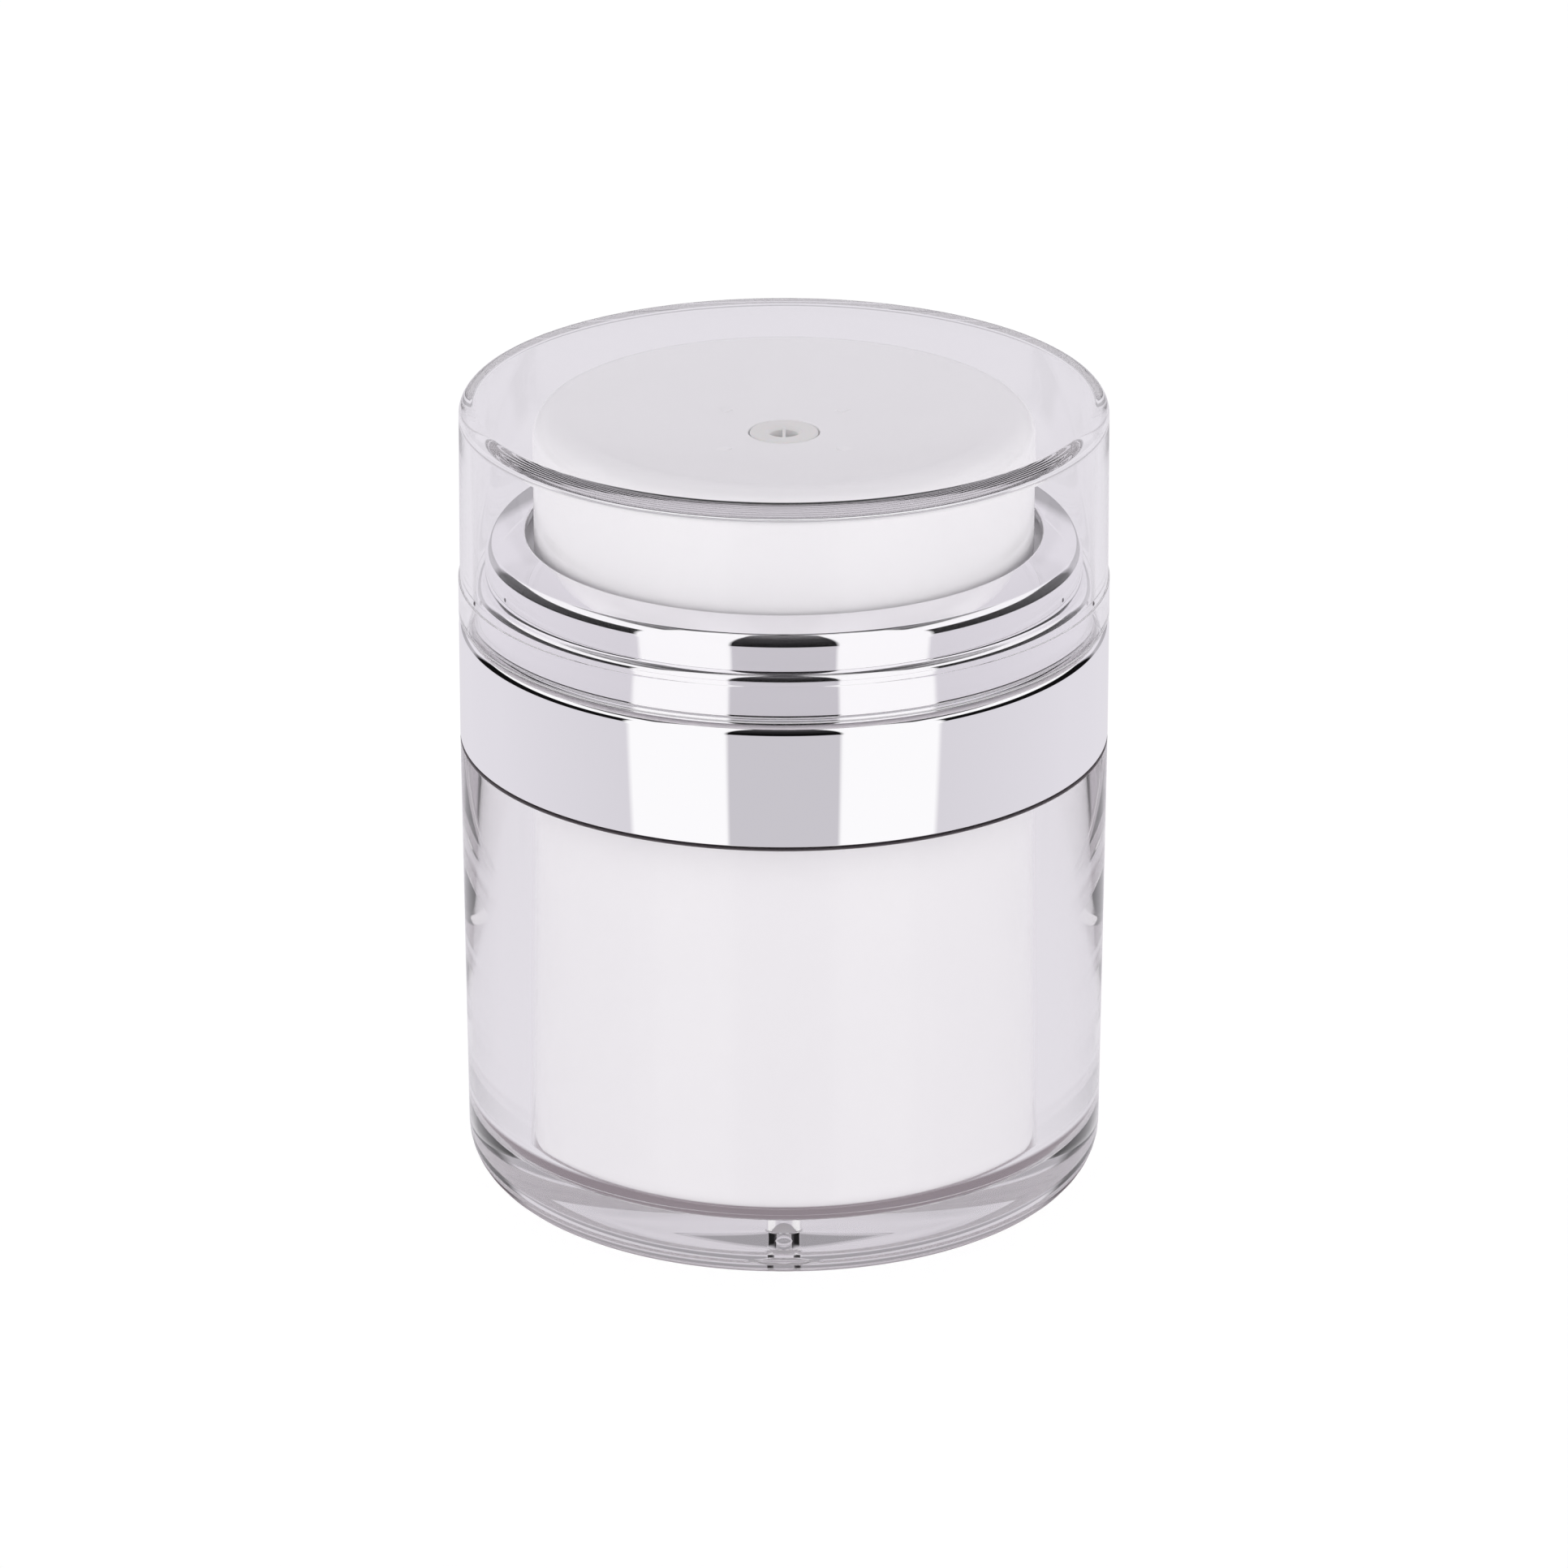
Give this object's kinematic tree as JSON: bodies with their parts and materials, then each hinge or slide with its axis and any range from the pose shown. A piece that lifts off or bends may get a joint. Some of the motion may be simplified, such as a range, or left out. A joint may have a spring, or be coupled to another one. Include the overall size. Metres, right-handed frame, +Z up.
{
  "type": "airless cream bottle",
  "caption": "Round airless cream jar with a thick clear wall round a white cup, a bright collar, a dished press disc over a piston pump, and a clear pull-off cap.",
  "frame": {"origin": "middle of the base, on the plane the jar stands on", "axes": "+Z up along the centre line, +Y away from the camera of the picture; the object is round about Z"},
  "size_m": [0.062, 0.062, 0.0785],
  "materials": {
    "clear_acrylic": "polished, clear as glass",
    "bright_plating": "mirror bright",
    "white_plastic": "smooth semi-gloss white",
    "natural_plastic": "milky, uncoloured",
    "soft_seal": "soft, dull",
    "spring_steel": "drawn wire"
  },
  "bodies": {
    "jar": {"outer_jar": "clear_acrylic", "inner_cup": "white_plastic", "cup_gasket": "soft_seal", "pump_deck": "white_plastic", "pump_chamber": "natural_plastic", "chamber_cap": "natural_plastic", "collar_liner": "white_plastic", "collar_shell": "bright_plating", "return_spring": "spring_steel"},
    "press_head": {"press_disc": "white_plastic", "nozzle_insert": "natural_plastic", "outlet_valve": "soft_seal", "pump_stem": "white_plastic", "chamber_piston": "natural_plastic"},
    "valve": {"inlet_valve": "soft_seal"},
    "follower": {"follower_piston": "natural_plastic"},
    "cap": {"over_cap": "clear_acrylic"}
  },
  "joints": [
    {"name": "press", "type": "slide", "parent": "jar", "child": "press_head", "axis": [0, 0, -1], "range_m": [0, 0.0045], "stiffness_N_per_m": 1500, "springref_m": -0.003, "deforming": ["return_spring"]},
    {"name": "inlet_lift", "type": "slide", "parent": "jar", "child": "valve", "axis": [0, 0, 1], "range_m": [0, 0.0008]},
    {"name": "follower_climb", "type": "slide", "parent": "jar", "child": "follower", "axis": [0, 0, 1], "range_m": [0, 0.0306]},
    {"name": "cap_lift", "type": "slide", "parent": "jar", "child": "cap", "axis": [0, 0, 1], "range_m": [0, 0.03]}
  ]
}
